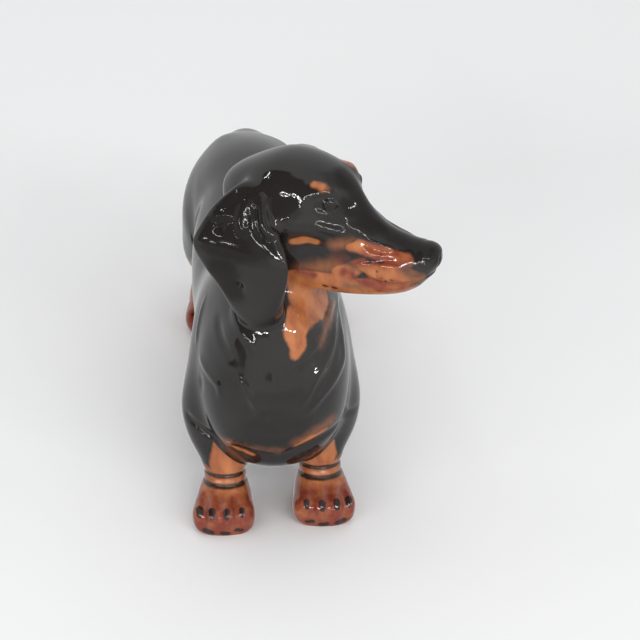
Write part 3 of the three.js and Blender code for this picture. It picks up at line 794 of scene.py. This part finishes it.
def node(tree, kind, inputs=None, **settings):
    made = tree.nodes.new(kind)
    for key, value in settings.items():
        setattr(made, key, value)
    for key, value in (inputs or {}).items():
        socket = made.inputs[key]
        if isinstance(value, bpy.types.NodeSocket):
            tree.links.new(value, socket)
        else:
            socket.default_value = value
    return made


def math_of(tree, operation, *values):
    return node(tree, "ShaderNodeMath", dict(enumerate(values)), operation=operation).outputs[0]


def glaze(name, with_painted_shade):
    """Clear gloss glaze over brushed black, tan and red-brown. With painted shade, it shines less under the
    painted-shade marks, so that they look darker.
    """
    material = bpy.data.materials.new(name)
    material.use_nodes = True
    tree = material.node_tree
    tree.nodes.clear()
    place = node(tree, "ShaderNodeTexCoord").outputs["Object"]

    def noise(scale, detail=3.0, stretch=(1, 1, 1)):
        turned = node(tree, "ShaderNodeMapping", {"Vector": place, "Scale": stretch}).outputs[0]
        return node(tree, "ShaderNodeTexNoise", {"Vector": turned, "Scale": scale, "Detail": detail}).outputs[0]

    def share(attribute, wobble, edge):
        """1 under the named colour and 0 outside it, with a brushed edge."""
        distance = node(tree, "ShaderNodeAttribute", attribute_name=attribute).outputs["Fac"]
        moved = math_of(tree, "MULTIPLY_ADD", math_of(tree, "SUBTRACT", noise(420), 0.5), wobble, distance)
        limits = {"Value": moved, "From Min": edge, "From Max": -edge}
        return node(tree, "ShaderNodeMapRange", limits, interpolation_type="SMOOTHSTEP").outputs[0]

    def mix(factor, a, b):
        made = node(tree, "ShaderNodeMix", {"Factor": factor, 6: a, 7: b}, data_type="RGBA")
        return made.outputs[2]

    streaks = noise(260, 4.0, (1, 1, 0.45))
    tan = node(tree, "ShaderNodeValToRGB", {"Fac": streaks})
    tan.color_ramp.elements[0].position, tan.color_ramp.elements[0].color = 0.3, (0.23, 0.064, 0.025, 1)
    tan.color_ramp.elements[1].position, tan.color_ramp.elements[1].color = 0.62, (0.40, 0.143, 0.052, 1)
    clouds = math_of(tree, "MULTIPLY_ADD", noise(330), 1.9, -0.15)
    red_amount = math_of(tree, "MULTIPLY", share("red", 2.2, 1.3), clouds)
    red = mix(red_amount, tan.outputs[0], (0.17, 0.03, 0.018, 1))
    black = mix(noise(90), (0.010, 0.0085, 0.008, 1), (0.020, 0.018, 0.017, 1))
    thin_tan = math_of(tree, "MULTIPLY", share("tan_wash", 2.0, 1.8), 0.5)
    tan_cover = math_of(tree, "MAXIMUM", share("tan", 1.0, 0.5), thin_tan)
    smoky = math_of(tree, "MULTIPLY", share("black_wash", 1.4, 1.8), 0.72)
    painted_on = mix(smoky, mix(tan_cover, black, red), (0.03, 0.026, 0.024, 1))
    inked = mix(math_of(tree, "MULTIPLY", share("ink", 0.35, 0.2), 0.93), painted_on, (0.012, 0.009, 0.008, 1))
    sole = share("sole", 0.1, 0.06)
    colour = mix(sole, inked, (0.62, 0.55, 0.46, 1))
    bumps = {"Strength": 0.1, "Distance": 0.0004, "Height": noise(160, 2.0)}
    waves = node(tree, "ShaderNodeBump", bumps).outputs[0]
    rough = node(tree, "ShaderNodeMapRange", {"Value": sole, "To Min": 0.07, "To Max": 0.7}).outputs[0]
    # Painted shade: the specular level drops under the painted-shade marks, which darkens the reflections there.
    gloss = math_of(tree, "MULTIPLY_ADD", share("painted_shade", 2.6, 1.6), -0.36, 0.5) if with_painted_shade else 0.5
    look = {"Base Color": colour, "Roughness": rough, "IOR": 1.5, "Specular IOR Level": gloss, "Normal": waves}
    surface = node(tree, "ShaderNodeBsdfPrincipled", look)
    out = node(tree, "ShaderNodeOutputMaterial")
    tree.links.new(surface.outputs[0], out.inputs[0])
    return material


def add_piece(name, skin, material):
    closed = skin.capped()
    mesh = bpy.data.meshes.new(name)
    mesh.vertices.add(len(closed.points))
    mesh.vertices.foreach_set("co", ((closed.points - BOX_MIDDLE) * MM).astype(np.float32).ravel())
    count = len(closed.triangles)
    mesh.loops.add(3 * count)
    mesh.loops.foreach_set("vertex_index", closed.triangles.astype(np.int32).ravel())
    mesh.polygons.add(count)
    mesh.polygons.foreach_set("loop_start", np.arange(0, 3 * count, 3, dtype=np.int32))
    mesh.polygons.foreach_set("loop_total", np.full(count, 3, np.int32))
    mesh.update()
    mesh.validate()
    mesh.shade_smooth()
    mesh.normals_split_custom_set_from_vertices(closed.normals.tolist())
    for key, values in painted(name, closed.points).items():
        attribute = mesh.attributes.new(key, "FLOAT", "POINT")
        attribute.data.foreach_set("value", values.astype(np.float32))
    mesh.materials.append(material)
    piece = bpy.data.objects.new(name + "_glazed", mesh)
    bpy.context.scene.collection.objects.link(piece)
    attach(piece, "root")
    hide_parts(name)
    return piece


def above_joint(points):
    return (points - NECK_JOINT) @ NECK_JOINT_UP


# The black glaze carries the painted shade; the tan glaze does not.
black_glaze, tan_glaze = glaze("black_glaze", True), glaze("tan_glaze", False)

# The torso and the tail.
clay = shape((-25, -68, -2), (45, 98, 82), BODY_STEP)
body = Skin(*clay.surface())
body = body.below(above_joint(body.points))
rest = np.minimum(clay.part("barrel", body.points), clay.part("neck", body.points))
tail_level = clay.part("tail", body.points) - rest
add_piece("tail", body.below(tail_level).largest(), black_glaze)
torso = body.below(-tail_level)
for leg in ("foreleg_left", "foreleg_right", "hindleg_left", "hindleg_right"):
    rest = np.minimum(clay.part("barrel", torso.points), clay.part("neck", torso.points))
    torso = torso.below(rest - clay.part(leg, torso.points))
add_piece("torso", torso.largest(), black_glaze)

# The head and the ears.
clay = shape((-30, -70, 50), (46, -12, 103), HEAD_STEP, with_ears=True)
top = Skin(*clay.surface())
for name in ("ear_left", "ear_right"):
    rest = np.minimum(clay.part("skull", top.points), clay.part("neck", top.points))
    level = clay.part(name, top.points) - np.minimum(rest, clay.part("barrel", top.points)) + 1e-3
    add_piece(name, top.below(level).largest(), black_glaze)
    top = top.below(-level)
add_piece("head", top.below(-above_joint(top.points)).largest(), black_glaze)

# The legs.
for pair, low, high in (("foreleg", (-25, -62, -2), (27, -16, 48)), ("hindleg", (-22, 40, -2), (28, 76, 52))):
    clay = shape(low, high, PAW_STEP)
    legs = Skin(*clay.surface())
    for side in ("left", "right"):
        rest = np.minimum(clay.part("barrel", legs.points), clay.part("neck", legs.points))
        level = clay.part(f"{pair}_{side}", legs.points) - rest
        add_piece(f"{pair}_{side}", legs.below(level).largest(), tan_glaze)

# A plain pale floor under soft studio light.
scene = bpy.context.scene
scene.view_settings.view_transform = "Standard"
floor_mesh = bpy.data.meshes.new("floor")
reach = 3.0
corners = [(-reach, -reach, 0), (reach, -reach, 0), (reach, reach, 0), (-reach, reach, 0)]
floor_mesh.from_pydata(corners, [], [(0, 1, 2, 3)])
floor = bpy.data.objects.new("floor", floor_mesh)
scene.collection.objects.link(floor)
paper = bpy.data.materials.new("paper")
paper.use_nodes = True
paper.node_tree.nodes["Principled BSDF"].inputs["Base Color"].default_value = (0.80, 0.80, 0.805, 1)
paper.node_tree.nodes["Principled BSDF"].inputs["Roughness"].default_value = 0.9
floor_mesh.materials.append(paper)
floor.visible_glossy = False  # the glaze mirrors the pale lower half of the surroundings instead

world = bpy.data.worlds.new("studio")
scene.world = world
world.use_nodes = True
tree = world.node_tree
tree.nodes.clear()
direction = node(tree, "ShaderNodeTexCoord").outputs["Generated"]
axes = node(tree, "ShaderNodeSeparateXYZ", {0: direction}).outputs
azimuth = math_of(tree, "ARCTAN2", axes[0], math_of(tree, "MULTIPLY", axes[1], -1.0))
elevation = math_of(tree, "ARCSINE", axes[2])


def ramp(value, start, end):
    """0 before start and 1 after end, in degrees."""
    limits = {"Value": value, "From Min": math.radians(start), "From Max": math.radians(end)}
    return node(tree, "ShaderNodeMapRange", limits, interpolation_type="SMOOTHSTEP").outputs[0]


def within(value, low, high, edge):
    rise, fall = ramp(value, low - edge, low + edge), ramp(value, high + edge, high - edge)
    return math_of(tree, "MULTIPLY", rise, fall)


# White walls all round, with a dark corner of the room in front of the dog, on each side.
left_corner = 0.0
for around, up_and_down in (((-122, -7), (31, 80)), ((-82, -7), (12, 34)), ((-82, -46), (-3, 15))):
    patch = math_of(tree, "MULTIPLY", within(azimuth, *around, 2.5), within(elevation, *up_and_down, 2.5))
    left_corner = math_of(tree, "MAXIMUM", left_corner, patch)
right_corner = math_of(tree, "MULTIPLY", within(azimuth, 26, 140, 8), within(elevation, 34, 66, 8))
wall = math_of(tree, "MULTIPLY_ADD", left_corner, -0.94, 1.0)
wall = math_of(tree, "MULTIPLY", wall, math_of(tree, "MULTIPLY_ADD", right_corner, -0.4, 1.0))
below = math_of(tree, "MULTIPLY_ADD", ramp(elevation, -2, -14), -0.22, 1.0)
below = math_of(tree, "MULTIPLY", below, math_of(tree, "MULTIPLY_ADD", ramp(elevation, -45, -85), -0.5, 1.0))
strength = math_of(tree, "MULTIPLY", math_of(tree, "MULTIPLY", wall, below), 0.76)
background = node(tree, "ShaderNodeBackground", {"Color": (0.985, 0.995, 1, 1), "Strength": strength})
tree.links.new(background.outputs[0], node(tree, "ShaderNodeOutputWorld").inputs[0])


def area(name, at, size, power, target=(0, -0.03, 0.06)):
    data = bpy.data.lights.new(name, "AREA")
    data.shape = "RECTANGLE"
    data.size, data.size_y = size
    data.energy = power
    lamp = bpy.data.objects.new(name, data)
    lamp.location = at
    lamp.rotation_mode = "QUATERNION"
    lamp.rotation_quaternion = (Vector(target) - Vector(at)).to_track_quat("-Z", "Y")
    scene.collection.objects.link(lamp)
    return lamp


def lamp_at(name, azimuth, elevation, size, radiance, away=1.5):
    """A lamp seen from the dog in this direction (0 is in front, positive to its left)."""
    a, e = math.radians(azimuth), math.radians(elevation)
    at = (away * math.sin(a) * math.cos(e), -0.03 - away * math.cos(a) * math.cos(e), 0.06 + away * math.sin(e))
    return area(name, at, size, radiance * math.pi * size[0] * size[1])


# A row of small lamps, which the glaze shows as broken threads of light.
for k in range(9):
    lamp_at(f"row_{k}", -11 - 5.6 * k, 18.5 + 2 * math.sin(2.1 * k), (0.11, 0.03), 75)
for k, (side, height) in enumerate(((-100, 52), (-112, 50), (-52, 5), (-58, 2), (-65, 5))):
    lamp_at(f"high_{k}", side, height, (0.09, 0.016), 70)
for k, (side, height) in enumerate(((42, 20), (34, 22), (26, 25), (18, 28), (10, 31), (2, 34))):
    lamp_at(f"side_{k}", side, height, (0.13, 0.04), 90)
# Soft fill over the floor, which the glaze doesn't mirror.
for name, at, size, power, target in (
    ("back_fill", (0.1, 0.75, 0.85), (1.2, 0.5), 2.2, (0.05, 0.35, 0)),
    ("top_fill", (-0.5, -0.3, 1.5), (1.4, 1.4), 5.0, (-0.1, 0, 0)),
    ("front_fill", (-0.1, -1.2, 0.3), (1.6, 0.5), 4.5, (0, 0, 0.02)),
):
    area(name, at, size, power, target).visible_glossy = False

# The camera looks down at the dog's face, as in the photograph.
AZIMUTH, ELEVATION, DISTANCE = math.radians(-2.5), math.radians(28), 1000.0
AIM_RIGHT, AIM_UP = 12.104, 53.157  # the aim, from a point on the ground under the chest
LENS_ON_FULL_FRAME = 225.394
level = math.cos(ELEVATION)
back = Vector((math.sin(AZIMUTH) * level, -math.cos(AZIMUTH) * level, math.sin(ELEVATION)))
right = Vector((math.cos(AZIMUTH), math.sin(AZIMUTH), 0))
up = back.cross(right)
aim = Vector((0, -55, 0)) + AIM_RIGHT * right + AIM_UP * up
lens = bpy.data.cameras.new("camera")
lens.sensor_width = 36
lens.lens = LENS_ON_FULL_FRAME
lens.clip_end = 20
camera = bpy.data.objects.new("camera", lens)
scene.collection.objects.link(camera)
turned = Matrix((right, up, back)).transposed().to_4x4()
turned.translation = (aim + back * DISTANCE - Vector(BOX_MIDDLE)) * MM
camera.matrix_world = turned
scene.camera = camera
